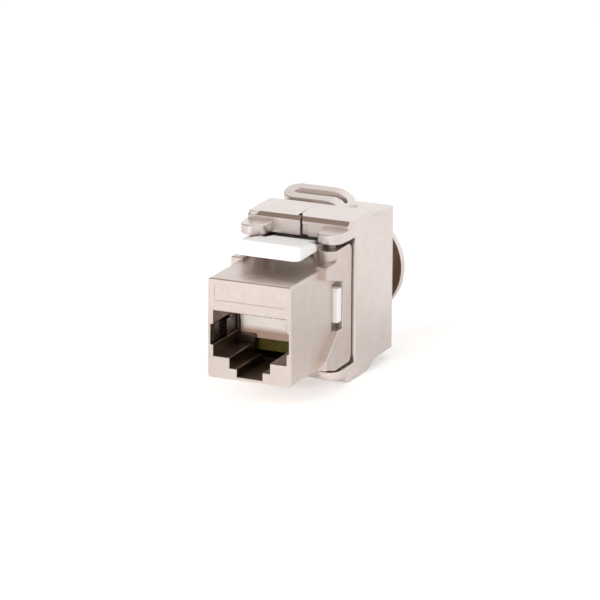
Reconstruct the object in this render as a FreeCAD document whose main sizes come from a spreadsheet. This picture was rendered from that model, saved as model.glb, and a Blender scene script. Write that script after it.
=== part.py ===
"""Shielded tool-less keystone jack: a die-cast socket housing with two hinged rear wings.

The frame's origin is the middle of the lower front edge of the nose.  X runs to the right,
Y runs from the front face to the rear, and Z is up.  All lengths are millimetres.
"""
import FreeCAD, Part
import math
import os
import Sketcher
from FreeCAD import Placement, Rotation, Vector

doc = FreeCAD.newDocument("keystone_jack")

# --------------------------------------------------------------------------- driving sizes
SIZES = [
    # the nose, which fills the opening in the faceplate, and the core behind it
    ("nose_width", 14.5), ("nose_height", 16.4), ("nose_edge", 0.5), ("face_edge", 0.2),
    ("core_length", 20.0), ("label_width", 12.4), ("label_low", 12.8), ("label_high", 15.5),
    ("label_depth", 0.1), ("cut_overrun", 1.0),
    # the socket: a wide mouth, side grooves for the shield springs and a keyway for the plug's clip
    ("port_width", 12.7), ("port_top", 11.05), ("port_depth", 9.8), ("shelf_level", 3.6),
    ("groove_depth", 0.5), ("groove_low", 5.45), ("groove_high", 8.75),
    ("step_width", 7.0), ("step_level", 1.9), ("key_width", 4.4), ("key_level", 0.6),
    ("ledge_width", 3.0), ("ledge_thickness", 0.8), ("ledge_top", 5.0),
    ("lip_thickness", 1.4), ("cavity_top", 15.2), ("cavity_floor", 1.2),
    # the side panels, which stand proud of the core and carry the hinge bosses
    ("panel_reach", 8.4), ("panel_front", 11.1), ("panel_overrun", 0.95), ("panel_top", 18.75),
    ("panel_bottom", -1.1), ("panel_corner", 1.2), ("foot_low", -0.2),
    ("foot_high", 1.4), ("arm_low", 14.8), ("arm_top", 16.9), ("window_front", 15.8),
    ("window_rear", 17.6), ("window_low", 5.3), ("window_high", 13.0),
    # the hinges
    ("hinge_offset", 6.75), ("hinge_place", 16.5), ("boss_radius", 2.25), ("boss_root", 1.2),
    ("ear_radius", 2.2), ("ear_low", 19.75), ("ear_thickness", 1.65), ("ear_cap", 0.4),
    ("lower_ear_top", -1.4), ("lower_ear_thickness", 1.3), ("ear_flare", 0.3), ("flare_length", 0.6),
    ("pin_radius", 0.7), ("pin_seat", 1.8), ("pin_play", 0.05), ("pin_press", 0.01),
    ("pin_end_play", 0.1),
    # the wings
    ("seam_place", -0.4), ("seam_gap", 0.1), ("front_wall_place", 18.5), ("plate_gap", 0.35),
    ("wing_rear", 36.4), ("side_wall", 1.75), ("rear_wall", 1.3), ("shelf_top", 21.15),
    ("roof_level", 19.55), ("hump_top", 22.6), ("hump_crown", 0.12), ("hump_rear", 27.3),
    ("ramp_length", 1.8), ("bevel_run", 0.7), ("bevel_height", 0.65), ("shelf_bottom", -2.95),
    ("keel_bottom", -4.5), ("keel_front", 18.4), ("keel_rear", 29.1), ("keel_toe", 1.8),
    ("keel_heel", 4.6), ("keel_inset", 0.5), ("wing_edge", 0.3), ("tongue_reach", 0.75),
    ("tongue_depth", 0.8), ("corner_radius", 0.95), ("rib_width", 1.4), ("rib_thickness", 1.2),
    ("rib_margin", 3.0),
    # the cable collar, half on each wing
    ("collar_level", 9.3), ("cable_radius", 4.2), ("neck_radius", 5.5), ("neck_end", 40.6),
    ("disc_radius", 8.9), ("disc_thickness", 1.2), ("disc_edge", 0.25),
    # the earthing loop on the right wing
    ("loop_place", 32.0), ("loop_width", 4.8), ("loop_band", 1.75), ("loop_thickness", 0.8),
    ("loop_left", -8.4), ("loop_right", 4.4), ("loop_slope", 4.8), ("loop_height", 1.82),
    ("loop_tilt", 14.0), ("loop_root", 0.8), ("loop_clearance", 0.25),
    ("notch_left", 0.5), ("notch_width", 1.1), ("notch_height", 1.8),
    # the latch
    ("latch_width", 11.1), ("latch_front", 6.3), ("latch_length", 7.9), ("latch_low", 18.75),
    ("latch_height", 2.5), ("latch_corner", 1.1), ("latch_round", 0.7), ("latch_fall", 1.8),
    ("shoulder_width", 7.6), ("shoulder_rear", 17.0), ("neck_width", 6.2),
    ("neck_thickness", 1.2), ("pivot_inset", 1.2), ("pivot_level", 17.6), ("bar_radius", 0.8),
    ("cradle_width", 1.7), ("cradle_wall", 0.85), ("cradle_play", 0.1), ("cradle_mouth", 1.2),
    # the contact carrier, its eight contact wires and the shield springs
    ("fit_gap", 0.1), ("carrier_front", 10.0), ("carrier_low", 4.2), ("carrier_wall", 0.75),
    ("carrier_step", 0.2), ("carrier_step_level", 6.9),
    ("contact_pitch", 1.02), ("contact_width", 0.45), ("contact_thickness", 0.3),
    ("contact_slot", 0.6), ("contact_bend", 2.5), ("contact_tip", 9.3), ("contact_tip_level", 8.3),
    ("contact_level", 12.0), ("contact_tail", 4.3), ("spring_thickness", 0.22),
    ("spring_front", 0.9), ("spring_height", 0.65), ("spring_flat", 1.0), ("spring_margin", 0.2),
    # the circuit board, the insulation-displacement block and its blades, and the wire cap
    ("board_front", 11.2), ("board_thickness", 1.6), ("board_low", 2.0), ("board_margin", 0.2),
    ("block_overrun", 2.6), ("tab_reach", 8.2), ("tab_gap", 0.15), ("tab_low", 6.5),
    ("tab_high", 12.2), ("row_low", 4.2), ("row_high", 12.6), ("blade_inner", 1.6),
    ("blade_wall", 0.45), ("blade_width", 2.2), ("blade_thickness", 0.4), ("blade_inset", 3.4),
    ("blade_play", 0.06), ("slit_width", 0.4), ("slit_length", 2.6), ("slit_mouth", 1.4),
    ("cap_gap", 0.3), ("cap_width", 13.2), ("cap_length", 7.5), ("cap_low", 0.6),
    ("cap_high", 17.6), ("cap_bore", 3.4), ("cap_bore_depth", 2.8), ("channel_width", 1.1),
    ("channel_depth", 5.8), ("cap_edge", 0.4),
]

sheet = doc.addObject("Spreadsheet::Sheet", "sizes")
for row, (alias, number) in enumerate(SIZES, start=1):
    sheet.set("A%d" % row, alias)
    sheet.set("B%d" % row, str(number))
    sheet.setAlias("B%d" % row, alias)
doc.recompute()


class Size:
    """A length with the spreadsheet formula that gives it, so sums of sizes stay bound."""

    def __init__(self, value, formula):
        self.value = value
        self.formula = formula

    def join(self, sign, other, value):
        return Size(value, "(%s %s %s)" % (self.formula, sign, other.formula))

    def __add__(self, other):
        other = as_size(other)
        return self.join("+", other, self.value + other.value)

    def __sub__(self, other):
        other = as_size(other)
        return self.join("-", other, self.value - other.value)

    def __mul__(self, other):
        other = as_size(other)
        return self.join("*", other, self.value * other.value)

    def __truediv__(self, other):
        other = as_size(other)
        return self.join("/", other, self.value / other.value)

    def __radd__(self, other):
        return as_size(other) + self

    def __rsub__(self, other):
        return as_size(other) - self

    def __rmul__(self, other):
        return as_size(other) * self

    def __neg__(self):
        return as_size(0) - self


def as_size(number):
    return number if isinstance(number, Size) else Size(float(number), "%.6f" % number)


class Sheet:
    """The spreadsheet's cells by alias, as Size values."""

    def __getattr__(self, alias):
        return Size(float(sheet.get(alias)), "sizes.%s" % alias)


s = Sheet()

# Places that follow from the sizes and that more than one piece uses.
panel_rear = s.core_length + s.panel_overrun
plate_front = panel_rear + s.plate_gap
pivot_place = s.core_length - s.pivot_inset
block_rear = s.core_length + s.block_overrun
cap_rear = block_rear + s.cap_gap + s.cap_length
blade_end = cap_rear - s.blade_inset
blade_outer = s.port_width / 2 - s.fit_gap - s.blade_wall - s.blade_width / 2


def diagonal(across, along):
    formula = "sqrt((%s)^2 + (%s)^2)" % (across.formula, along.formula)
    return Size(math.hypot(across.value, along.value), formula)


def slope_angle(rise, run):
    """The angle of a slope, in degrees."""
    ratio = rise / run
    return Size(math.degrees(math.atan(ratio.value)), "atan(%s)" % ratio.formula)


# --------------------------------------------------------------------------- modelling helpers
PLANES = {"XY": ("XY_Plane", 1), "XZ": ("XZ_Plane", -1), "YZ": ("YZ_Plane", 1)}


def bind(thing, field, size):
    """Set a property and tie it to the spreadsheet."""
    thing.setExpression(field, as_size(size).formula)


def new_body(label):
    body = doc.addObject("PartDesign::Body", label)
    body.Label = label
    return body


def new_sketch(body, name, plane, place=0):
    """A sketch on one of the body's origin planes, moved along that plane's axis to `place`."""
    role, sign = PLANES[plane]
    sketch = body.newObject("Sketcher::SketchObject", name)
    origin_plane = [item for item in body.Origin.OriginFeatures if item.Role == role][0]
    sketch.AttachmentSupport = [(origin_plane, "")]
    sketch.MapMode = "FlatFace"
    bind(sketch, "AttachmentOffset.Base.z", sign * as_size(place))
    return sketch


def pin_point(sketch, geometry, end, point):
    """Hold one end of a sketch line at a point that is given as sizes."""
    for kind, size in zip(("DistanceX", "DistanceY"), point):
        size = as_size(size)
        index = sketch.addConstraint(
            Sketcher.Constraint(kind, -1, 1, geometry, end, size.value))
        sketch.setExpression("Constraints[%d]" % index, size.formula)


def draw_outline(sketch, points):
    """A closed outline of straight lines, each corner bound to its sizes."""
    corners = [Vector(as_size(a).value, as_size(b).value, 0) for a, b in points]
    first = sketch.GeometryCount
    count = len(corners)
    for index, corner in enumerate(corners):
        following = corners[(index + 1) % count]
        sketch.addGeometry(Part.LineSegment(corner, following), False)
    for index, point in enumerate(points):
        this = first + index
        after = first + (index + 1) % count
        sketch.addConstraint(Sketcher.Constraint("Coincident", this, 2, after, 1))
        pin_point(sketch, this, 1, point)


def draw_circle(sketch, centre, radius):
    place = Vector(as_size(centre[0]).value, as_size(centre[1]).value, 0)
    radius = as_size(radius)
    index = sketch.addGeometry(Part.Circle(place, Vector(0, 0, 1), radius.value), False)
    pin_point(sketch, index, 3, centre)
    number = sketch.addConstraint(Sketcher.Constraint("Radius", index, radius.value))
    sketch.setExpression("Constraints[%d]" % number, radius.formula)


def draw_round_ended(sketch, left, right, middle, radius):
    """A level outline with two half-round ends, `left` and `right` being the arcs' centres."""
    left, right, middle, radius = [as_size(size) for size in (left, right, middle, radius)]
    first = sketch.GeometryCount
    for centre, turn in ((left, 0.5), (right, 1.5)):
        circle = Part.Circle(Vector(centre.value, middle.value, 0), Vector(0, 0, 1), radius.value)
        sketch.addGeometry(Part.ArcOfCircle(circle, turn * math.pi, (turn + 1) * math.pi), False)
    for level in (middle.value + radius.value, middle.value - radius.value):
        sketch.addGeometry(Part.LineSegment(Vector(left.value, level, 0),
                                            Vector(right.value, level, 0)), False)
    left_arc, right_arc, upper, lower = range(first, first + 4)
    for ends in ((left_arc, 1, upper, 1), (left_arc, 2, lower, 1),
                 (right_arc, 1, lower, 2), (right_arc, 2, upper, 2)):
        sketch.addConstraint(Sketcher.Constraint("Tangent", *ends))
    pin_point(sketch, left_arc, 3, (left, middle))
    pin_point(sketch, right_arc, 3, (right, middle))
    number = sketch.addConstraint(Sketcher.Constraint("Radius", left_arc, radius.value))
    sketch.setExpression("Constraints[%d]" % number, radius.formula)


def rectangle(left, right, low, high):
    return [(left, low), (right, low), (right, high), (left, high)]


def ordered(first, second):
    """Two sizes, the smaller one first."""
    pair = (as_size(first), as_size(second))
    return pair if pair[0].value <= pair[1].value else pair[::-1]


def extrude(body, sketch, plane, first, second, cut=False):
    """Pad or pocket a sketch that lies at the lower of the two places, up to the higher one."""
    start, end = ordered(first, second)
    before = body.Shape.Volume if cut else 0
    kind = "Pocket" if cut else "Pad"
    feature = body.newObject("PartDesign::" + kind, sketch.Name + "_" + kind.lower())
    feature.Profile = sketch
    feature.Reversed = (PLANES[plane][1] == -1) != cut
    bind(feature, "Length", end - start)
    doc.recompute()
    if "Invalid" in feature.State or "Error" in feature.State:
        raise RuntimeError("%s failed" % feature.Name)
    if cut and not body.Shape.Volume < before - 1e-6:
        raise RuntimeError("%s cuts nothing" % feature.Name)
    return feature


def prism(body, name, plane, outlines, first, second, cut=False):
    """Extrude one or more closed outlines between two places along the plane's axis."""
    sketch = new_sketch(body, name, plane, ordered(first, second)[0])
    for points in outlines:
        draw_outline(sketch, points)
    return extrude(body, sketch, plane, first, second, cut)


def cylinder(body, name, plane, centres, radius, first, second, cut=False):
    sketch = new_sketch(body, name, plane, ordered(first, second)[0])
    for centre in centres:
        draw_circle(sketch, centre, radius)
    return extrude(body, sketch, plane, first, second, cut)


def edges_where(body, test):
    """The names of the body's edges whose middle point and direction pass the test."""
    names = []
    for number, edge in enumerate(body.Shape.Edges, start=1):
        first, last = edge.Vertexes[0].Point, edge.Vertexes[-1].Point
        along = last - first
        if along.Length > 1e-6:
            along.normalize()
        if test(edge.BoundBox.Center, along, edge):
            names.append("Edge%d" % number)
    return names


def dress(body, kind, size, test):
    """Fillet or chamfer the edges of the body that pass the test."""
    names = edges_where(body, test)
    if not names:
        raise RuntimeError("no edge to dress on %s" % body.Label)
    base = body.Tip
    feature = body.newObject("PartDesign::" + kind, body.Name + "_" + kind.lower())
    feature.Base = (base, names)
    bind(feature, "Radius" if kind == "Fillet" else "Size", size)
    doc.recompute()
    return feature


def near(number, size, slack=0.01):
    return abs(number - as_size(size).value) < slack


# --------------------------------------------------------------------------- front housing
def side_panel_outline():
    """A proud side panel seen from the side, with its forward arm and foot."""
    return [(s.panel_front, s.foot_low), (s.panel_front, s.foot_high),
            (s.window_front, s.window_low), (s.window_rear, s.window_low),
            (s.window_rear, s.window_high), (s.panel_front, s.arm_low),
            (s.panel_front, s.arm_top), (s.hinge_place - s.boss_radius, s.arm_top),
            (s.hinge_place, s.panel_top), (panel_rear, s.panel_top),
            (panel_rear, s.panel_bottom), (s.hinge_place, s.panel_bottom)]


def build_front_housing():
    """Die-cast nose and core with the socket through it, side panels and hinge bosses."""
    body = new_body("front_housing")
    half = s.nose_width / 2
    prism(body, "core", "XZ", [rectangle(-half, half, 0, s.nose_height)], 0, s.core_length)
    dress(body, "Fillet", s.nose_edge, lambda c, d, e: abs(d.y) > 0.99)
    dress(body, "Fillet", s.face_edge, lambda c, d, e: near(c.y, 0))

    for side, word in ((1, "right"), (-1, "left")):
        prism(body, word + "_panel", "YZ", [side_panel_outline()],
              side * s.port_width / 2, side * s.panel_reach)
    hinges = [(s.hinge_offset, s.hinge_place), (-s.hinge_offset, s.hinge_place)]
    cylinder(body, "upper_bosses", "XY", hinges, s.boss_radius,
             s.nose_height - s.boss_root, s.panel_top)
    cylinder(body, "lower_bosses", "XY", hinges, s.boss_radius, s.panel_bottom, s.boss_root)
    overhang = s.hinge_offset + s.boss_radius + s.cut_overrun
    for side, word in ((1, "right"), (-1, "left")):
        flush = side * s.panel_reach
        far = side * overhang
        left, right = ordered(flush, far)
        prism(body, word + "_flush", "XY",
              [rectangle(left, right, s.hinge_place - s.boss_radius - s.cut_overrun,
                         s.hinge_place + s.boss_radius + s.cut_overrun)],
              s.panel_bottom - s.cut_overrun, s.panel_top + s.cut_overrun, cut=True)
    dress(body, "Fillet", s.panel_corner,
          lambda c, d, e: abs(d.x) > 0.99 and near(c.y, panel_rear)
          and (near(c.z, s.panel_top) or near(c.z, s.panel_bottom)))

    # The latch's cradles stand on the core's roof, and its bar snaps into them from behind.
    inner = s.neck_width / 2 + s.cradle_play
    outer = inner + s.cradle_width
    beyond = outer + s.cut_overrun
    cradle = s.bar_radius + s.cradle_wall
    prism(body, "cradles", "XY",
          [rectangle(inner, outer, pivot_place - cradle, s.core_length),
           rectangle(-outer, -inner, pivot_place - cradle, s.core_length)],
          s.nose_height - s.boss_root, s.pivot_level + s.bar_radius + s.cradle_wall / 2)
    cylinder(body, "cradle_bore", "YZ", [(pivot_place, s.pivot_level)],
             s.bar_radius + s.pin_play, -beyond, beyond, cut=True)
    prism(body, "cradle_mouth", "YZ",
          [rectangle(pivot_place, s.core_length + s.cut_overrun, s.pivot_level - s.cradle_mouth / 2,
                     s.pivot_level + s.cradle_mouth / 2)], -beyond, beyond, cut=True)

    # The socket and the cavity behind it.
    port = s.port_width / 2
    groove = port + s.groove_depth
    step = s.step_width / 2
    key = s.key_width / 2
    right_edge = [(key, s.key_level), (key, s.step_level), (step, s.step_level),
                  (step, s.shelf_level), (port, s.shelf_level), (port, s.groove_low),
                  (groove, s.groove_low), (groove, s.groove_high), (port, s.groove_high),
                  (port, s.port_top)]
    left_edge = [(-x, z) for x, z in reversed(right_edge)]
    prism(body, "socket", "XZ", [right_edge + left_edge], 0, s.port_depth, cut=True)
    prism(body, "roof_cavity", "XZ", [rectangle(-port, port, s.groove_high, s.cavity_top)],
          s.lip_thickness, s.core_length, cut=True)
    prism(body, "rear_cavity", "XZ", [rectangle(-port, port, s.cavity_floor, s.cavity_top)],
          s.port_depth, s.core_length, cut=True)
    inside = port - s.ledge_width
    prism(body, "plug_stops", "XZ",
          [rectangle(inside, port, s.shelf_level, s.ledge_top),
           rectangle(-port, -inside, s.shelf_level, s.ledge_top)],
          s.port_depth - s.ledge_thickness, s.port_depth)
    prism(body, "windows", "YZ",
          [rectangle(s.window_front, s.window_rear, s.window_low, s.window_high)],
          -half - s.cut_overrun, half + s.cut_overrun, cut=True)
    prism(body, "label_recess", "XZ",
          [rectangle(-s.label_width / 2, s.label_width / 2, s.label_low, s.label_high)],
          0, s.label_depth, cut=True)
    cylinder(body, "upper_pin_seats", "XY", hinges, s.pin_radius + s.pin_press,
             s.panel_top - s.pin_seat, s.panel_top, cut=True)
    cylinder(body, "lower_pin_seats", "XY", hinges, s.pin_radius + s.pin_press,
             s.panel_bottom, s.panel_bottom + s.pin_seat, cut=True)
    return body


def build_hinge_pins():
    """Four short steel pins, pressed into the bosses, that the wings' ears turn on."""
    for side, word in ((1, "right"), (-1, "left")):
        axis = [(side * s.hinge_offset, s.hinge_place)]
        body = new_body("upper_hinge_pin_" + word)
        cylinder(body, "upper_pin_" + word, "XY", axis, s.pin_radius,
                 s.panel_top - s.pin_seat,
                 s.ear_low + s.ear_thickness - s.ear_cap - s.pin_end_play)
        body = new_body("lower_hinge_pin_" + word)
        cylinder(body, "lower_pin_" + word, "XY", axis, s.pin_radius,
                 s.lower_ear_top - s.lower_ear_thickness + s.ear_cap + s.pin_end_play,
                 s.panel_bottom + s.pin_seat)


# --------------------------------------------------------------------------- wings
# The keel's rounded rear, as shares of its heel's length and of the keel's height.
KEEL_CURVE = ((0.26, 0.55), (0.61, 0.9))
KEEL_TOE_RISE = 0.45
# The knee of an ear's flared root, as shares of the flare's reach and length.
FLARE_KNEE = (0.33, 0.5)


def wing_outline():
    """A wing seen from the side: bevelled hump, ramp, rear shelf, and the keel below."""
    ramp_end = s.hump_rear + s.ramp_length
    keel = s.shelf_bottom - s.keel_bottom
    heel = [(s.keel_rear - along * s.keel_heel, s.shelf_bottom - down * keel)
            for along, down in KEEL_CURVE]
    return [(s.front_wall_place, s.roof_level), (s.front_wall_place, s.hump_top - s.bevel_height),
            (s.front_wall_place + s.bevel_run, s.hump_top),
            ((s.front_wall_place + s.hump_rear) / 2, s.hump_top + s.hump_crown),
            (s.hump_rear, s.hump_top), (ramp_end, s.shelf_top),
            (s.wing_rear, s.shelf_top), (s.wing_rear, s.shelf_bottom),
            (s.keel_rear, s.shelf_bottom)] + heel + [
            (s.keel_rear - s.keel_heel, s.keel_bottom),
            (s.keel_front + s.keel_toe, s.keel_bottom),
            (s.keel_front, s.keel_bottom + KEEL_TOE_RISE * keel),
            (s.keel_front, s.lower_ear_top), (plate_front, s.lower_ear_top),
            (plate_front, s.roof_level)]


def build_wing_body(label, side):
    """One die-cast wing shell with its ears, keel and half of the cable collar."""
    body = new_body(label)
    seam = s.seam_place + side * s.seam_gap / 2
    reach = side * (s.hinge_offset + s.ear_radius)
    inner_face = reach - side * s.side_wall
    prism(body, label + "_shell", "YZ", [wing_outline()], seam, reach)
    dress(body, "Fillet", s.wing_edge,
          lambda c, d, e: near(c.x, reach) or near(c.y, s.wing_rear) and near(abs(d.x), 1))

    # The keel's flank leans inwards, from a line that falls towards the rear.
    lean = reach - side * s.keel_inset
    beyond = reach + side * s.cut_overrun
    low = s.keel_bottom - s.cut_overrun
    sketch = new_sketch(body, label + "_keel_flank", "XZ", plate_front)
    draw_outline(sketch, [(beyond, s.lower_ear_top), (reach, s.lower_ear_top),
                          (lean, s.keel_bottom), (lean, low), (beyond, low)])
    fall = slope_angle(s.lower_ear_top - s.shelf_bottom, s.keel_rear - plate_front)
    sketch.AttachmentOffset = Placement(
        sketch.AttachmentOffset.Base, Rotation(Vector(-1, 0, 0), fall.value))
    bind(sketch, "AttachmentOffset.Rotation.Angle", fall)
    flank = body.newObject("PartDesign::Pocket", label + "_keel_flank_pocket")
    flank.Profile = sketch
    flank.Midplane = True
    bind(flank, "Length", 2 * s.wing_rear)
    doc.recompute()

    # Collar: a neck and a flange round the cable, cut off at the seam.
    sketch = new_sketch(body, label + "_collar_section", "YZ")
    bind(sketch, "AttachmentOffset.Base.y", s.collar_level)
    flange_end = s.neck_end + s.disc_thickness
    draw_outline(sketch, [(s.wing_rear - s.rear_wall / 2, s.cable_radius),
                          (flange_end, s.cable_radius), (flange_end, s.disc_radius),
                          (s.neck_end, s.disc_radius), (s.neck_end, s.neck_radius),
                          (s.wing_rear - s.rear_wall / 2, s.neck_radius)])
    collar = body.newObject("PartDesign::Revolution", label + "_collar")
    collar.Profile = sketch
    collar.ReferenceAxis = (sketch, ["H_Axis"])
    collar.Angle = 360
    doc.recompute()
    dress(body, "Chamfer", s.disc_edge,
          lambda c, d, e: near(e.BoundBox.XLength, 2 * s.disc_radius))
    other_side = seam - side * (s.disc_radius + s.cut_overrun)
    left, right = ordered(seam, other_side)
    prism(body, label + "_seam", "XZ",
          [rectangle(left, right, s.collar_level - s.disc_radius - s.cut_overrun,
                     s.collar_level + s.disc_radius + s.cut_overrun)],
          s.wing_rear - s.rear_wall, flange_end + s.cut_overrun, cut=True)

    # The hollow that closes round the wire cap, open towards the seam and the front.
    left, right = ordered(seam - side * s.cut_overrun, inner_face)
    prism(body, label + "_hollow", "XZ",
          [rectangle(left, right, s.lower_ear_top, s.roof_level)],
          s.front_wall_place - s.cut_overrun, s.wing_rear - s.rear_wall, cut=True)
    cylinder(body, label + "_cable_bore", "XZ", [(0, s.collar_level)], s.cable_radius,
             s.wing_rear - s.rear_wall - s.cut_overrun, s.wing_rear + s.cut_overrun, cut=True)
    left, right = ordered(inner_face - side * s.rib_width, inner_face)
    prism(body, label + "_rib", "XZ",
          [rectangle(left, right, s.cap_low + s.rib_margin, s.cap_high - s.rib_margin)],
          cap_rear + s.cap_gap, cap_rear + s.cap_gap + s.rib_thickness)

    # Ears: round lugs that run back into the wing, bored blind for the pins.
    axis = (side * s.hinge_offset, s.hinge_place)
    inner = axis[0] - side * s.ear_radius
    flared = inner - side * s.ear_flare
    knee = inner - side * FLARE_KNEE[0] * s.ear_flare
    root = s.front_wall_place + s.bevel_run
    for word, low, high in (
            ("upper", s.ear_low, s.ear_low + s.ear_thickness),
            ("lower", s.lower_ear_top - s.lower_ear_thickness, s.lower_ear_top)):
        cylinder(body, label + "_" + word + "_ear", "XY", [axis], s.ear_radius, low, high)
        prism(body, label + "_" + word + "_ear_root", "XY",
              [[(inner, s.hinge_place), (reach, s.hinge_place), (reach, root),
                (flared, root), (flared, s.front_wall_place),
                (knee, s.front_wall_place - FLARE_KNEE[1] * s.flare_length),
                (inner, s.front_wall_place - s.flare_length)]], low, high)
    cylinder(body, label + "_upper_bore", "XY", [axis], s.pin_radius + s.pin_play,
             s.ear_low, s.ear_low + s.ear_thickness - s.ear_cap, cut=True)
    cylinder(body, label + "_lower_bore", "XY", [axis], s.pin_radius + s.pin_play,
             s.lower_ear_top - s.lower_ear_thickness + s.ear_cap, s.lower_ear_top, cut=True)
    return body


def build_left_wing():
    """The left wing; its ramp is cut back on an arc round its hinge to pass under the loop."""
    body = build_wing_body("left_wing_shell", -1)
    front = s.front_wall_place
    seam = s.seam_place - s.seam_gap / 2
    prism(body, "tongue", "YZ",
          [[(front, s.roof_level), (front, s.hump_top - s.bevel_height),
            (front + s.bevel_run, s.hump_top), (front + s.tongue_depth, s.hump_top),
            (front + s.tongue_depth, s.roof_level)]],
          seam - s.cut_overrun, seam + s.tongue_reach)
    corner = -(s.hinge_offset + s.ear_radius - s.corner_radius)
    cylinder(body, "front_corner", "XY", [(corner, front + s.corner_radius)], s.corner_radius,
             s.roof_level, s.hump_top)
    sketch = new_sketch(body, "loop_relief", "XY", s.shelf_top)
    hinge = (-s.hinge_offset, s.hinge_place)
    loop_front = s.loop_place - s.loop_width / 2
    draw_circle(sketch, hinge, 2 * (loop_front - s.hinge_place))
    draw_circle(sketch, hinge, loop_front - s.hinge_place - s.loop_clearance)
    extrude(body, sketch, "XY", s.shelf_top, s.hump_top + s.cut_overrun, cut=True)
    return body


# The strip's curved fall to the shelf, as shares of its slope's length and of its whole fall.
STRIP_TOP = ((0, 0), (0.21, 0.03), (0.38, 0.115), (0.54, 0.275), (0.69, 0.46), (0.81, 0.63), (1.1, 0.97))
STRIP_UNDERSIDE = ((-0.06, 0), (0.16, 0.02), (0.33, 0.11), (0.42, 0.2))


def build_right_wing():
    """The right wing, with the flat earthing loop that is cast on its rear shelf."""
    body = build_wing_body("right_wing_casting", 1)
    tongue_x = s.seam_place - s.seam_gap / 2 + s.tongue_reach + s.hinge_offset
    tongue_y = s.front_wall_place + s.tongue_depth - s.hinge_place
    sketch = new_sketch(body, "tongue_relief", "XY", s.roof_level - s.cut_overrun)
    hinge = (-s.hinge_offset, s.hinge_place)
    draw_circle(sketch, hinge, diagonal(tongue_x, tongue_y) + s.seam_gap)
    extrude(body, sketch, "XY", s.roof_level - s.cut_overrun, s.hump_top + s.cut_overrun, cut=True)
    prism(body, "cap_notch", "XZ",
          [rectangle(s.notch_left, s.notch_left + s.notch_width, s.roof_level - s.cut_overrun,
                     s.roof_level + s.notch_height)],
          s.front_wall_place - s.cut_overrun, s.front_wall_place + s.bevel_run, cut=True)

    # A strip that slopes down to the shelf at its right end, drawn about the loop's middle.
    strip = new_body("loop_strip")
    thick = s.loop_thickness
    start = s.loop_right - s.loop_slope
    fall = s.loop_height + s.loop_root
    left, right = s.loop_left - s.cut_overrun, s.loop_right + s.cut_overrun
    upper = [(start + along * s.loop_slope, -down * fall) for along, down in STRIP_TOP]
    under = [(start + along * s.loop_slope, -thick - down * fall) for along, down in STRIP_UNDERSIDE]
    prism(strip, "strip", "XZ",
          [[(left, -thick)] + under + [(start + s.loop_slope / 2, -fall), (right, -fall)]
           + upper[::-1] + [(left, 0)]], -s.loop_width, s.loop_width)
    strip.Placement = Placement(Vector(0, 0, 0), Rotation(Vector(1, 0, 0), s.loop_tilt.value))
    bind(strip, "Placement.Rotation.Angle", s.loop_tilt)
    bind(strip, "Placement.Base.y", s.loop_place)
    bind(strip, "Placement.Base.z", s.shelf_top + s.loop_height)

    # The upright ring that trims the strip to its round-ended outline and opens its slot.
    ring = new_body("loop_outline")
    sketch = new_sketch(ring, "loop_rings", "XY", s.roof_level)
    radius = s.loop_width / 2
    for inset in (0, s.loop_band):
        draw_round_ended(sketch, s.loop_left + radius, s.loop_right - radius, s.loop_place,
                         radius - inset)
    extrude(ring, sketch, "XY", s.roof_level, s.shelf_top + 2 * s.loop_height)

    loop = doc.addObject("Part::Common", "earthing_loop")
    loop.Base = strip
    loop.Tool = ring
    wing = doc.addObject("Part::Fuse", "right_wing_shell")
    wing.Base = body
    wing.Tool = loop
    wing.Refine = True
    doc.recompute()
    return wing


# --------------------------------------------------------------------------- latch
def build_latch():
    """White sprung latch: a thick paddle over the nose on a neck that ends in a round bar."""
    body = new_body("latch")
    rear = s.latch_front + s.latch_length
    half = s.latch_width / 2
    front_top = s.latch_low + s.latch_height
    shoulder_top = front_top - s.latch_fall
    rear_top = shoulder_top + (s.shoulder_rear - rear) * s.latch_fall / (s.shoulder_rear - s.latch_front)
    prism(body, "paddle", "YZ",
          [[(s.latch_front, s.latch_low), (rear, s.latch_low), (rear, rear_top),
            (s.latch_front, front_top)]], -half, half)
    dress(body, "Fillet", s.latch_corner, lambda c, d, e: abs(d.z) > 0.99)
    middle = s.latch_low.value + s.latch_height.value / 2
    dress(body, "Fillet", s.latch_round, lambda c, d, e: e.BoundBox.ZMin > middle)
    prism(body, "shoulder", "YZ",
          [[(rear - s.latch_corner, s.latch_low), (s.shoulder_rear, s.latch_low),
            (s.shoulder_rear, shoulder_top), (rear, rear_top), (rear - s.latch_corner, rear_top)]],
          -s.shoulder_width / 2, s.shoulder_width / 2)
    neck_top = s.pivot_level + s.bar_radius
    inside = rear - s.neck_thickness
    prism(body, "neck", "YZ",
          [[(inside, s.latch_low), (rear, s.latch_low), (pivot_place, neck_top - s.neck_thickness),
            (pivot_place, neck_top), (rear, s.latch_low + s.neck_thickness),
            (inside, s.latch_low + s.neck_thickness)]],
          -s.neck_width / 2, s.neck_width / 2)
    reach = s.neck_width / 2 + s.cradle_play + s.cradle_width
    cylinder(body, "bar", "YZ", [(pivot_place, s.pivot_level)], s.bar_radius, -reach, reach)
    return body


# --------------------------------------------------------------------------- contacts and board
def contact_places():
    """The X places of the eight contacts, from left to right."""
    return [(number - 3.5) * s.contact_pitch for number in range(8)]


def carrier_top():
    return s.cavity_top - s.fit_gap


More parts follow.
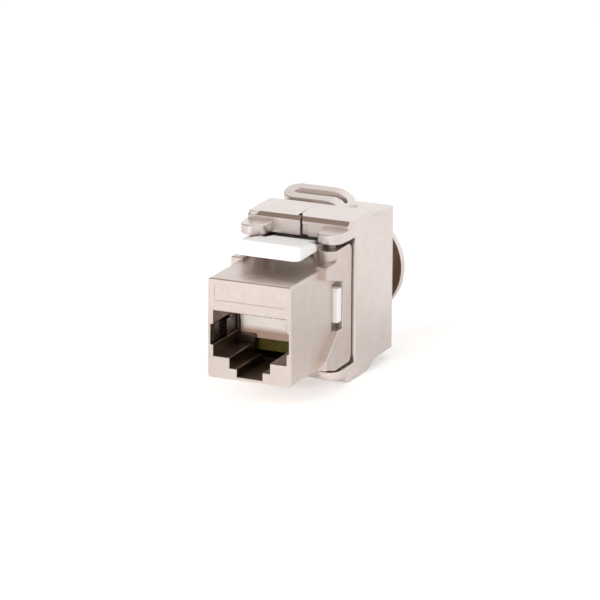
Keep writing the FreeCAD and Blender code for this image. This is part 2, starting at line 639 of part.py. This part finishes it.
def build_contact_carrier():
    """Moulded carrier: a slab under the socket's roof and a wall in front of the board."""
    body = new_body("contact_carrier")
    half = s.port_width / 2 - s.fit_gap
    slab_low = s.port_top + s.fit_gap
    prism(body, "carrier_section", "YZ",
          [[(s.lip_thickness + s.fit_gap, slab_low), (s.carrier_front, slab_low),
            (s.carrier_front, s.carrier_step_level),
            (s.carrier_front + s.carrier_step, s.carrier_step_level),
            (s.carrier_front + s.carrier_step, s.carrier_low),
            (s.carrier_front + s.carrier_wall, s.carrier_low),
            (s.carrier_front + s.carrier_wall, slab_low), (s.board_front, slab_low),
            (s.board_front, carrier_top()), (s.lip_thickness + s.fit_gap, carrier_top())]],
          -half, half)
    slots = [rectangle(x - s.contact_slot / 2, x + s.contact_slot / 2,
                       slab_low - s.cut_overrun,
                       s.contact_level + s.contact_thickness + s.fit_gap)
             for x in contact_places()]
    prism(body, "front_slots", "XZ", slots, s.contact_bend - s.contact_slot,
          s.carrier_front - s.fit_gap, cut=True)
    row = contact_places()[-1] + s.contact_slot / 2
    prism(body, "tail_recess", "XZ",
          [rectangle(-row, row, s.contact_level - s.fit_gap,
                     s.contact_level + s.contact_thickness + s.fit_gap)],
          s.carrier_front - s.contact_slot, s.board_front, cut=True)
    prism(body, "tail_drop", "XY",
          [rectangle(-row, row, s.carrier_front + s.carrier_wall, s.board_front)],
          slab_low - s.cut_overrun, s.contact_level, cut=True)
    return body


def build_contact_wires():
    """Eight gold-plated spring wires: soldered tail, run along the slab, and hanging tip."""
    back = s.board_front
    thick = s.contact_thickness
    level = s.contact_level
    for number, x in enumerate(contact_places(), start=1):
        body = new_body("contact_wire_%d" % number)
        outline = [(back, s.contact_tail), (back, level + thick),
                   (s.contact_bend - thick, level + thick),
                   (s.contact_bend - thick, level - thick), (s.contact_tip, s.contact_tip_level - thick),
                   (s.contact_tip, s.contact_tip_level), (s.contact_bend + thick / 2, level - thick / 2),
                   (s.contact_bend + thick / 2, level), (back - thick, level),
                   (back - thick, s.contact_tail)]
        prism(body, "wire_%d" % number, "YZ", [outline],
              x - s.contact_width / 2, x + s.contact_width / 2)


def build_shield_springs():
    """Two bowed leaves in the socket's side grooves that touch the plug's shield."""
    for side, word in ((1, "right"), (-1, "left")):
        body = new_body("shield_spring_" + word)
        outer = side * (s.port_width / 2 + s.groove_depth)
        inner = outer - side * s.spring_thickness
        bow = side * s.spring_height
        front = s.spring_front
        rear = s.port_depth - s.ledge_thickness
        middle = (front + rear) / 2
        quarter = (rear - front) / 4
        flat = s.spring_flat / 2
        outline = [(outer, front), (inner, front), (inner, middle - quarter),
                   (inner - bow, middle - flat), (inner - bow, middle + flat),
                   (inner, middle + quarter), (inner, rear), (outer, rear),
                   (outer, middle + quarter), (outer - bow, middle + flat),
                   (outer - bow, middle - flat), (outer, middle - quarter)]
        prism(body, "leaf_" + word, "XY", [outline],
              s.groove_low + s.spring_margin, s.groove_high - s.spring_margin)


def build_circuit_board():
    body = new_body("circuit_board")
    half = s.port_width / 2 - s.fit_gap
    prism(body, "board", "XZ", [rectangle(-half, half, s.board_low, s.cavity_top - s.board_margin)],
          s.board_front, s.board_front + s.board_thickness)
    return body


# --------------------------------------------------------------------------- wire termination
def blade_places():
    """The X places of the four blades in a row."""
    return [-blade_outer, -s.blade_inner, s.blade_inner, blade_outer]


def build_termination_block():
    """White block behind the board: it holds the blades and snaps into the side windows."""
    body = new_body("termination_block")
    half = s.port_width / 2 - s.fit_gap
    front = s.board_front + s.board_thickness
    low = s.board_low + s.fit_gap
    prism(body, "block", "XZ", [rectangle(-half, half, low, s.cavity_top - s.board_margin)],
          front, block_rear)
    prism(body, "snap_tabs", "YZ",
          [rectangle(s.window_front + s.tab_gap, s.window_rear - s.tab_gap, s.tab_low, s.tab_high)],
          -s.tab_reach, s.tab_reach)
    width = s.blade_width / 2 + s.blade_play
    thick = s.blade_thickness / 2 + s.blade_play
    slots = [rectangle(x - width, x + width, z - thick, z + thick)
             for z in (s.row_low, s.row_high) for x in blade_places()]
    prism(body, "blade_slots", "XZ", slots, front, block_rear, cut=True)
    return body


def build_blades():
    """Eight forked blades, each with a slit that cuts through a wire's insulation."""
    front = s.board_front + s.board_thickness
    end = blade_end
    slit = s.slit_width / 2
    mouth = s.slit_mouth / 2
    half = s.blade_width / 2
    for row, z in (("lower", s.row_low), ("upper", s.row_high)):
        for number, x in enumerate(blade_places(), start=1):
            body = new_body("%s_blade_%d" % (row, number))
            outline = [(x - half, front), (x + half, front), (x + half, end), (x + mouth, end),
                       (x + slit, end - mouth), (x + slit, end - s.slit_length),
                       (x - slit, end - s.slit_length), (x - slit, end - mouth),
                       (x - mouth, end), (x - half, end)]
            prism(body, "%s_fork_%d" % (row, number), "XY", [outline],
                  z - s.blade_thickness / 2, z + s.blade_thickness / 2)


def build_wire_cap():
    """White cap over the blades: wires fan out from its middle into eight channels."""
    body = new_body("wire_cap")
    half = s.cap_width / 2
    front = block_rear + s.cap_gap
    prism(body, "cap_block", "XZ", [rectangle(-half, half, s.cap_low, s.cap_high)],
          front, cap_rear)
    dress(body, "Chamfer", s.cap_edge, lambda c, d, e: near(c.y, cap_rear))
    cylinder(body, "cap_cable_bore", "XZ", [(0, s.collar_level)], s.cap_bore,
             cap_rear - s.cap_bore_depth, cap_rear, cut=True)
    channel = s.channel_width / 2
    prism(body, "wire_channels", "XZ",
          [rectangle(x - channel, x + channel, s.cap_low, s.cap_high) for x in blade_places()],
          cap_rear - s.channel_depth, cap_rear, cut=True)
    width = s.blade_width / 2 + s.blade_play
    thick = s.blade_thickness / 2 + s.blade_play
    prism(body, "cap_blade_slots", "XZ",
          [rectangle(x - width, x + width, z - thick, z + thick)
           for z in (s.row_low, s.row_high) for x in blade_places()],
          front, blade_end + s.cap_gap, cut=True)
    return body


# --------------------------------------------------------------------------- build and export
build_front_housing()
build_hinge_pins()
build_left_wing()
build_right_wing()
build_latch()
build_contact_carrier()
build_contact_wires()
build_shield_springs()
build_circuit_board()
build_termination_block()
build_blades()
build_wire_cap()
doc.recompute()

building_aids = ("right_wing_casting", "loop_strip", "loop_outline")
pieces = [item for item in doc.Objects if item.TypeId == "PartDesign::Body"
          and item.Label not in building_aids]
pieces.append(doc.getObject("right_wing_shell"))
for item in doc.Objects:
    if "Invalid" in item.State or "Error" in item.State:
        raise RuntimeError("%s failed: %s" % (item.Label, item.State))
for piece in pieces:
    if piece.Shape.isNull() or not piece.Shape.isValid():
        raise RuntimeError("%s has no valid shape" % piece.Label)

os.makedirs("parts", exist_ok=True)
for piece in pieces:
    piece.Shape.exportStep("parts/%s.step" % piece.Label)
    print("%-26s %9.2f mm3  %d solid" % (piece.Label, piece.Shape.Volume, len(piece.Shape.Solids)))
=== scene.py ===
"""A shielded keystone jack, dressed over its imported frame: a nickel-plated zinc socket
housing with two hinged rear wings, a white latch, gold contacts, a circuit board and the
white wire cap.  Lengths are metres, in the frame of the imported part.  Which metals,
platings and resins it is made of is judged from colours alone."""
import math

import bmesh
import bpy
from mathutils import Matrix, Vector
from mathutils.bvhtree import BVHTree


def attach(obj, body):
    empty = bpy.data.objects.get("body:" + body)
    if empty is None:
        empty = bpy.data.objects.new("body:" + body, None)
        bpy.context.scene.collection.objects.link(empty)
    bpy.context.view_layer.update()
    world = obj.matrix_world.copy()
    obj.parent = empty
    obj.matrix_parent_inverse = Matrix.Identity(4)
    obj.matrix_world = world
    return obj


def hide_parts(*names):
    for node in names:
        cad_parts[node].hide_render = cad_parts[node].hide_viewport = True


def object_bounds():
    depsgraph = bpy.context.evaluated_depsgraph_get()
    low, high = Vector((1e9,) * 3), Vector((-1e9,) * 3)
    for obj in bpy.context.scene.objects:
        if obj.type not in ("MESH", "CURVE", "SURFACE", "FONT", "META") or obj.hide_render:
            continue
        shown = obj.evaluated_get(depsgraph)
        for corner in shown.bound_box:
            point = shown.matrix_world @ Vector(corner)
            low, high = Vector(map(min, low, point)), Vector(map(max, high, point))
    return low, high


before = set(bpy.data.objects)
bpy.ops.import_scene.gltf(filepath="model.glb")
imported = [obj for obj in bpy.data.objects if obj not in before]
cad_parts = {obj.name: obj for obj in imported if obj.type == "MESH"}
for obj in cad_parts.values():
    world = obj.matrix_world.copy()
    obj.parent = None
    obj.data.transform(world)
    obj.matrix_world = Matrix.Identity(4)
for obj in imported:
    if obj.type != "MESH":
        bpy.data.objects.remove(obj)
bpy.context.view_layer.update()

# ------------------------------------------------------------------ front housing
# One casting: the nose, the socket through it, the side panels and the hinge bosses.  It is
# taken for tumbled zinc with nickel plating, so its edges are softened and it is matt.
MM = 0.001
LONG_EDGE, SHORT_EDGE = 0.20 * MM, 0.11 * MM


def merged_copy(node):
    """The surface of a CAD node as a bmesh whose loose triangles are joined to flat faces."""
    same_place, flat = 0.002 * MM, math.radians(0.5)
    shape = bmesh.new()
    shape.from_mesh(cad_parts[node].data)
    bmesh.ops.remove_doubles(shape, verts=shape.verts, dist=same_place)
    bmesh.ops.dissolve_limit(shape, angle_limit=flat, verts=shape.verts, edges=shape.edges)
    shape.normal_update()
    return shape


def has_room(loop, surface, radius):
    """True if a face runs on flat, beside one of its edges, for twice the radius."""
    on_surface, nearly_parallel = radius / 10, 0.95
    start, end = loop.vert.co, loop.link_loop_next.vert.co
    inwards = loop.face.normal.cross(end - start).normalized()
    for share in (0.1, 0.5, 0.9):
        probe = start.lerp(end, share) + inwards * 2 * radius
        _, normal, _, distance = surface.find_nearest(probe)
        if distance > on_surface or normal.dot(loop.face.normal) < nearly_parallel:
            return False
    return True


def break_edges(shape, radius):
    """Rounds the outer edges that turn by more than 25 degrees and have room for it, and
    keeps each new corner within reach of the sharp one."""
    least_turn = math.radians(25)
    surface = BVHTree.FromBMesh(shape)
    edges = [edge for edge in shape.edges if edge.calc_face_angle_signed() > least_turn
             and all(has_room(loop, surface, radius) for loop in edge.link_loops)]
    bmesh.ops.bevel(shape, geom=edges, offset=radius, offset_type="OFFSET", segments=4,
                    profile=0.5, affect="EDGES", clamp_overlap=False, loop_slide=False,
                    material=-1)
    for corner in shape.verts:
        place, _, _, distance = surface.find_nearest(corner.co)
        if distance > radius / 2:
            corner.co = place
    shape.normal_update()


def finish_piece(shape, name, body, materials, node):
    """Makes a bmesh the piece that stands for a CAD node, smooth over its rounded edges
    and sharp over the rest."""
    sharp_turn = math.radians(40)
    mesh = bpy.data.meshes.new(name)
    for face in shape.faces:
        face.smooth = True
    for edge in shape.edges:
        edge.smooth = edge.calc_face_angle(0) < sharp_turn
    shape.to_mesh(mesh)
    shape.free()
    for material in materials:
        mesh.materials.append(material)
    piece = bpy.data.objects.new(name, mesh)
    bpy.context.scene.collection.objects.link(piece)
    even = piece.modifiers.new("even_shading", "WEIGHTED_NORMAL")
    even.mode = "FACE_AREA"
    even.keep_sharp = True
    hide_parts(node)
    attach(piece, body)


def linear(colour):
    """A hex colour as linear values for a shader."""
    channels = [int(colour[i:i + 2], 16) / 255 for i in (1, 3, 5)]
    return [c / 12.92 if c <= 0.04045 else ((c + 0.055) / 1.055) ** 2.4 for c in channels] + [1]


def new_material(name):
    """A node material with its tree and its Principled shader."""
    material = bpy.data.materials.new(name)
    material.use_nodes = True
    tree = material.node_tree
    return material, tree, tree.nodes["Principled BSDF"]


def add(tree, kind, settings=None, **inputs):
    """Adds a node, gives it its settings, and fills or links its inputs.  An input goes by
    its name, with _ for a space, or as _0, _1 and so on by its place in the node."""
    node = tree.nodes.new("ShaderNode" + kind)
    for field, value in (settings or {}).items():
        setattr(node, field, value)
    for name, value in inputs.items():
        place = name[1:]
        socket = node.inputs[int(place) if place.isdigit() else name.replace("_", " ")]
        if isinstance(value, bpy.types.NodeSocket):
            tree.links.new(value, socket)
        else:
            socket.default_value = value
    return node


COLOUR_MIX = {"data_type": "RGBA"}
# Nearly all of a noise pattern's values lie between these two.
NOISE_SPAN = {"From_Min": 0.3, "From_Max": 0.7}


def satin_nickel(name, light, dark, recess, closed, open_air):
    """A warm, pale metal with a matt grain, faint clouds, and painted shade, a darker colour,
    in deep recesses.  The painted shade is full where less than `closed` of the sky is seen
    within the reach of a recess, and gone from `open_air` up.  The grain is drawn at 0.3 mm so
    that it shows; a real one, about 0.1 mm at a guess, is too fine for that."""
    cloud_size, grain_size, grain_height = 2.5 * MM, 0.3 * MM, 0.03 * MM
    recess_reach = 5.0 * MM
    material, tree, metal = new_material(name)
    place = add(tree, "TexCoord").outputs["Object"]
    clouds = add(tree, "TexNoise", Vector=place, Scale=1 / cloud_size, Detail=3.0)
    grain = add(tree, "TexNoise", Vector=place, Scale=1 / grain_size, Detail=3.0)
    both = add(tree, "Math", {"operation": "ADD"}, _0=clouds.outputs["Fac"],
               _1=grain.outputs["Fac"])
    patchy = add(tree, "MapRange", Value=both.outputs[0], From_Min=0.55, From_Max=1.45)
    tint = add(tree, "Mix", COLOUR_MIX, Factor=patchy.outputs["Result"],
               _6=linear(light), _7=linear(dark))
    depth = add(tree, "AmbientOcclusion", {"only_local": True, "samples": 8},
                Distance=recess_reach)
    painted_recess_shade = add(tree, "MapRange", Value=depth.outputs["AO"], From_Min=closed,
               From_Max=open_air, To_Min=1.0, To_Max=0.0)
    skin = add(tree, "Mix", COLOUR_MIX, Factor=painted_recess_shade.outputs["Result"],
               _6=tint.outputs[2], _7=linear(recess))
    rough = add(tree, "MapRange", Value=grain.outputs["Fac"], To_Min=0.29, To_Max=0.37,
                **NOISE_SPAN)
    bump = add(tree, "Bump", Height=grain.outputs["Fac"], Strength=0.25,
               Distance=grain_height)
    tree.links.new(skin.outputs[2], metal.inputs["Base Color"])
    tree.links.new(rough.outputs["Result"], metal.inputs["Roughness"])
    tree.links.new(bump.outputs["Normal"], metal.inputs["Normal"])
    metal.inputs["Metallic"].default_value = 1.0
    return material


# Outside, the plating looks silvery and warm.  The socket's walls get a much darker tint,
# painted by place.  It is painted shade, so the walls stay too dark in other light.  Part
# of that darkness is really shade, so the walls stay too dark in other light, and thin
# plating, which the material is named for, is only a guess.
nickel = satin_nickel("satin_nickel_on_the_housing", "#E6DAD4", "#D6C9C1", "#866A52",
                      closed=0.10, open_air=0.42)
socket_shaded_nickel = satin_nickel("nickel_with_painted_shade_inside_the_socket", "#88766B", "#736054", "#2C2019",
                           closed=0.15, open_air=0.65)
housing = merged_copy("front_housing")
for radius in (LONG_EDGE, SHORT_EDGE):
    break_edges(housing, radius)

# The socket's walls, which get the painted shade: the faces within this box, whose front stops
# short of the rounded rim.
SOCKET_SIDE = 7.0 * MM
SOCKET_BOTTOM, SOCKET_TOP = 0.4 * MM, 15.6 * MM
SOCKET_FRONT, SOCKET_END = 0.12 * MM, 18.0 * MM
for face in housing.faces:
    middle = face.calc_center_median()
    if (abs(middle.x) < SOCKET_SIDE and SOCKET_BOTTOM < middle.z < SOCKET_TOP
            and SOCKET_FRONT < middle.y < SOCKET_END):
        face.material_index = 1
finish_piece(housing, "housing_casting", "housing", [nickel, socket_shaded_nickel], "front_housing")

# ------------------------------------------------------------------ hinged wings
# Two castings like the housing.  They turn on pins and close round the wire cap and the
# cable; the right one carries the earthing loop.
WING_EDGE = 0.14 * MM
WING_REAR = 37.0 * MM
FORWARDS = -0.9

# The wings' nickel is a little brighter than the housing's, which is painted light.  The front
# of the cable flange gets a darker tint, painted by place.  It stands partly for the wing's
# shade, so it stays too dark in other light, and thin plating is only a guess here too.  It is
# painted shade from the wing, so it stays too dark in other light.
wing_nickel = satin_nickel("satin_nickel_on_the_wings", "#F2E9E5", "#E6DBD5", "#7A6555",
                           closed=0.06, open_air=0.36)
shaded_nickel = satin_nickel("nickel_with_painted_shade_behind_the_flange", "#AF998B", "#9D887B", "#8C7767",
                             closed=0.10, open_air=0.45)
for side in ("left", "right"):
    wing = merged_copy(side + "_wing_shell")
    break_edges(wing, WING_EDGE)
    # The flange's forward faces get the painted shade.
    for face in wing.faces:
        if face.calc_center_median().y > WING_REAR and face.normal.y < FORWARDS:
            face.material_index = 1
    finish_piece(wing, side + "_wing_casting", side + "_wing", [wing_nickel, shaded_nickel],
                 side + "_wing_shell")

# ------------------------------------------------------------------ white plastic parts
# The latch, the termination block and the wire cap, each taken for white polycarbonate.
# The latch rocks in two cradles of the housing, the block is snapped into its side windows,
# and the cap is pressed over the block's blades by hand.
PLASTIC_EDGE = 0.15 * MM


def moulded_plastic(name, colour, flow_colour):
    """Moulded plastic: clean and slightly glossy, with a faint orange peel and, a few
    millimetres apart, weak streaks like those that a flowing melt leaves."""
    flow_size, peel_size, peel_height = 3.0 * MM, 0.5 * MM, 0.02 * MM
    material, tree, plastic = new_material(name)
    place = add(tree, "TexCoord").outputs["Object"]
    flow = add(tree, "TexNoise", Vector=place, Scale=1 / flow_size, Detail=2.0)
    tint = add(tree, "Mix", COLOUR_MIX, Factor=flow.outputs["Fac"],
               _6=linear(colour), _7=linear(flow_colour))
    peel = add(tree, "TexNoise", Vector=place, Scale=1 / peel_size, Detail=1.0)
    rough = add(tree, "MapRange", Value=peel.outputs["Fac"], To_Min=0.38, To_Max=0.46,
                **NOISE_SPAN)
    bump = add(tree, "Bump", Height=peel.outputs["Fac"], Strength=0.06, Distance=peel_height)
    tree.links.new(tint.outputs[2], plastic.inputs["Base Color"])
    tree.links.new(rough.outputs["Result"], plastic.inputs["Roughness"])
    tree.links.new(bump.outputs["Normal"], plastic.inputs["Normal"])
    return material


# Clean white polycarbonate, hardly warmer than paper.
white = moulded_plastic("white_polycarbonate", "#FAF9F8", "#F5F4F3")
for node, name, body in (("latch", "latch_lever_moulding", "latch_lever"),
                         ("termination_block", "termination_block_moulding", "housing"),
                         ("wire_cap", "wire_cap_moulding", "housing")):
    moulding = merged_copy(node)
    break_edges(moulding, PLASTIC_EDGE)
    finish_piece(moulding, name, body, [white], node)

# ------------------------------------------------------------------ contact carrier
# The block behind the socket's mouth, moulded round the eight contact wires and pushed into
# the housing from the rear, in front of the circuit board.  It is taken for ivory PBT.
CARRIER_EDGE = 0.08 * MM
SHADE_LOW, SHADE_HIGH = 5.3 * MM, 6.3 * MM
SHADE_RIGHT = 6.0 * MM

# The ivory is nearly white, with a tan tint painted by place over its lower part and a weaker
# one towards the right; both are painted shade.
ivory = moulded_plastic("ivory_pbt", "#FFF8F2", "#FDF5EE")
tree = ivory.node_tree
base_colour = tree.nodes["Principled BSDF"].inputs["Base Color"]
place = add(tree, "SeparateXYZ", Vector=add(tree, "TexCoord").outputs["Object"])
lower = add(tree, "MapRange", Value=place.outputs["Z"], From_Min=SHADE_LOW,
            From_Max=SHADE_HIGH, To_Min=1.0, To_Max=0.0)
right = add(tree, "MapRange", Value=place.outputs["X"], From_Max=SHADE_RIGHT, To_Max=0.45)
carrier_shade = add(tree, "Math", {"operation": "MAXIMUM"}, _0=lower.outputs["Result"],
            _1=right.outputs["Result"])
shaded_resin = add(tree, "Mix", COLOUR_MIX, Factor=carrier_shade.outputs[0],
            _6=base_colour.links[0].from_socket, _7=linear("#B89C8C"))
tree.links.new(shaded_resin.outputs[2], base_colour)
carrier = merged_copy("contact_carrier")
break_edges(carrier, CARRIER_EDGE)
finish_piece(carrier, "contact_carrier_moulding", "housing", [ivory], "contact_carrier")


# ------------------------------------------------------------------ metal small parts
# Bent contact wires, forked blades stamped from strip, the spring strip that earths the
# plug, and the pins on which the wings turn.
def drawn_metal(name, colour, worn, roughness):
    """Plated or drawn wire and strip: bright, with fine marks that catch the light.  They
    are drawn at 0.2 mm so that they show; real ones, about 0.02 mm apart at a guess, are
    too fine for that."""
    mark_size = 0.2 * MM
    material, tree, metal = new_material(name)
    place = add(tree, "TexCoord").outputs["Object"]
    marks = add(tree, "TexNoise", Vector=place, Scale=1 / mark_size, Detail=2.0)
    tint = add(tree, "Mix", COLOUR_MIX, Factor=marks.outputs["Fac"],
               _6=linear(colour), _7=linear(worn))
    rough = add(tree, "MapRange", Value=marks.outputs["Fac"], To_Min=roughness - 0.05,
                To_Max=roughness + 0.08, **NOISE_SPAN)
    tree.links.new(tint.outputs[2], metal.inputs["Base Color"])
    tree.links.new(rough.outputs["Result"], metal.inputs["Roughness"])
    metal.inputs["Metallic"].default_value = 1.0
    return material


# Guesses, because little of these parts can be seen: polished yellow gold, soft grey-white tin,
# a darker spring strip and plain steel pins.  The strip and the pins are painted darker than
# their bare metal, as painted shade.
gold = drawn_metal("gold_plated_bronze", "#E9BF68", "#DCB058", 0.22)
tin = drawn_metal("tinned_bronze", "#D6D4CF", "#C7C5C0", 0.3)
spring = drawn_metal("nickel_plated_spring_strip", "#6A615F", "#5A5350", 0.28)
steel = drawn_metal("hinge_pin_steel", "#97938F", "#86827E", 0.35)
for node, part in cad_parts.items():
    for start, metal in (("contact_wire", gold), ("lower_blade", tin), ("upper_blade", tin),
                         ("shield_spring", spring), ("upper_hinge_pin", steel),
                         ("lower_hinge_pin", steel)):
        if node.startswith(start):
            part.data.materials.clear()
            part.data.materials.append(metal)

# ------------------------------------------------------------------ circuit board
# Laminate under an olive green solder mask; it joins the contact wires to the blades and is
# held between the carrier and the termination block.
WEAVE_SIZE = 0.5 * MM

# The mask is half glossy and a little lighter in patches, as over the knots of a weave.
solder_mask, tree, lacquer = new_material("green_solder_mask")
place = add(tree, "TexCoord").outputs["Object"]
weave = add(tree, "TexNoise", Vector=place, Scale=1 / WEAVE_SIZE, Detail=2.0)
knots = add(tree, "MapRange", Value=weave.outputs["Fac"], From_Min=0.35, From_Max=0.65)
green = add(tree, "Mix", COLOUR_MIX, Factor=knots.outputs["Result"],
            _6=linear("#3F3A13"), _7=linear("#54491F"))
gloss = add(tree, "MapRange", Value=weave.outputs["Fac"], From_Min=0.35, From_Max=0.65,
            To_Min=0.30, To_Max=0.42)
tree.links.new(green.outputs[2], lacquer.inputs["Base Color"])
tree.links.new(gloss.outputs["Result"], lacquer.inputs["Roughness"])
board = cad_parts["circuit_board"]
board.data.materials.clear()
board.data.materials.append(solder_mask)


# ------------------------------------------------------------------ floor and surroundings
# A sheet of matt white paper under the jack, and a white studio round it with a dark part
# up on the left.  Metal mirrors both.  In its mirror image alone, the paper also shows two
# light cards at the front and a band behind, which real paper wouldn't.
def seen_rays(tree):
    """1 for the rays that show the background: straight, mirrored or through glass."""
    ray = add(tree, "LightPath")
    first_two = add(tree, "Math", {"operation": "MAXIMUM"}, _0=ray.outputs["Is Camera Ray"],
                    _1=ray.outputs["Is Glossy Ray"])
    any_of_them = add(tree, "Math", {"operation": "MAXIMUM"}, _0=first_two.outputs[0],
                      _1=ray.outputs["Is Transmission Ray"])
    return any_of_them.outputs[0]


FLOOR_REACH = 3.0
BAND_START, BAND_FULL = 0.04, 0.07
# Each card: its middle on the floor, how far it reaches, and its strength.
FAR_CARD = (-0.031, -0.067, 0), 0.033, 0.85
NEAR_CARD = (0.004, -0.008, 0), 0.050, 0.32
SMOOTH_STEP = {"interpolation_type": "SMOOTHSTEP"}
low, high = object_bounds()
floor_shape = bmesh.new()
bmesh.ops.create_grid(floor_shape, x_segments=1, y_segments=1, size=FLOOR_REACH,
                      matrix=Matrix.Translation((0, 0, low[2])))
floor_mesh = bpy.data.meshes.new("floor")
floor_shape.to_mesh(floor_mesh)
floor_shape.free()
floor = bpy.data.objects.new("floor", floor_mesh)
bpy.context.scene.collection.objects.link(floor)

paper, tree, sheet = new_material("white_paper_floor")
sheet.inputs["Base Color"].default_value = linear("#F3F2F1")
sheet.inputs["Roughness"].default_value = 0.9
sheet.inputs["Specular IOR Level"].default_value = 0.0
sheet.inputs["Emission Color"].default_value = linear("#FFFFFF")
seen = seen_rays(tree)
straight = add(tree, "LightPath").outputs["Is Camera Ray"]
ground = add(tree, "TexCoord").outputs["Object"]
along = add(tree, "SeparateXYZ", Vector=ground)
behind = add(tree, "MapRange", SMOOTH_STEP, Value=along.outputs["Y"], From_Min=BAND_START,
             From_Max=BAND_FULL, To_Max=0.16)
glow = behind.outputs["Result"]
for spot, reach, level in (FAR_CARD, NEAR_CARD):
    away = add(tree, "VectorMath", {"operation": "DISTANCE"}, _0=ground, _1=spot)
    card = add(tree, "MapRange", SMOOTH_STEP, Value=away.outputs["Value"], From_Max=reach,
               To_Min=level, To_Max=0.0)
    glow = add(tree, "Math", {"operation": "ADD"}, _0=glow,
               _1=card.outputs["Result"]).outputs[0]
# Seen straight, the paper glows evenly, so the cards show in reflections alone.
EVEN_GLOW = 0.35
glow = add(tree, "Mix", Factor=straight, _2=glow, _3=EVEN_GLOW)
glow = add(tree, "Math", {"operation": "MULTIPLY"}, _0=seen, _1=glow.outputs[0])
tree.links.new(glow.outputs[0], sheet.inputs["Emission Strength"])
floor_mesh.materials.append(paper)

# The direction of the sky's dark part, and how far a direction leans to it where the
# darkening starts and is full.
DARK_SIDE, DARK_START, DARK_FULL = (-0.8, -0.35, 1.0), 0.60, 1.25
world = bpy.data.worlds.new("studio")
bpy.context.scene.world = world
world.use_nodes = True
tree = world.node_tree
seen = seen_rays(tree)
towards_dark = add(tree, "VectorMath", {"operation": "DOT_PRODUCT"},
                   _0=add(tree, "TexCoord").outputs["Generated"], _1=DARK_SIDE)
sweep = add(tree, "MapRange", SMOOTH_STEP, Value=towards_dark.outputs["Value"],
            From_Min=DARK_START, From_Max=DARK_FULL)
sky = add(tree, "Mix", COLOUR_MIX, Factor=sweep.outputs["Result"],
          _6=linear("#FFFFFF"), _7=linear("#8C7D70"))
shade = add(tree, "Mix", COLOUR_MIX, Factor=seen, _6=linear("#BCBAB8"), _7=sky.outputs[2])
tree.links.new(shade.outputs[2], tree.nodes["Background"].inputs["Color"])

# ------------------------------------------------------------------ lamps
# Four soft round lamps: a key at the front left, a low one that looks into the socket, a
# fill at the right and one overhead.  Unlike real lamps, they aren't mirrored by the metal.
LIT_PLACE = Vector((0, 0.02, 0.009))
for name, towards, distance, size, power in (
        ("key", (-0.60, -0.75, 0.50), 0.6, 0.30, 1.3),
        ("low_front", (-0.05, -1.0, 0.10), 0.5, 0.12, 1.3),
        ("fill", (1.0, -0.25, 0.35), 0.7, 0.5, 1.6),
        ("overhead", (0.1, 0.3, 1.0), 0.7, 0.6, 0.75)):
    lamp = bpy.data.lights.new(name, "AREA")
    lamp.shape = "DISK"
    lamp.size = size
    lamp.energy = power
    stand = bpy.data.objects.new(name, lamp)
    bpy.context.scene.collection.objects.link(stand)
    stand.visible_glossy = False
    stand.location = LIT_PLACE + Vector(towards).normalized() * distance
    stand.rotation_euler = (stand.location - LIT_PLACE).to_track_quat("Z", "Y").to_euler()

# ------------------------------------------------------------------ camera
# A long lens from the front right and a little above, aimed at a point inside the nose
# near its right wall, with the horizon turned by less than half a degree.
AZIMUTH, ELEVATION, ROLL = math.radians(24.09), math.radians(16.33), math.radians(0.40)
DISTANCE = 0.9
AIM = (5.22 * MM, 7.77 * MM, 12.19 * MM)
lens = bpy.data.cameras.new("camera")
lens.lens = 340.8
lens.sensor_width = 36
lens.clip_start = 0.01
camera = bpy.data.objects.new("camera", lens)
bpy.context.scene.collection.objects.link(camera)
camera.matrix_world = (Matrix.Translation(AIM) @ Matrix.Rotation(AZIMUTH, 4, "Z")
                       @ Matrix.Rotation(math.pi / 2 - ELEVATION, 4, "X")
                       @ Matrix.Rotation(ROLL, 4, "Z") @ Matrix.Translation((0, 0, DISTANCE)))
bpy.context.scene.camera = camera
bpy.context.scene.view_settings.view_transform = "Standard"
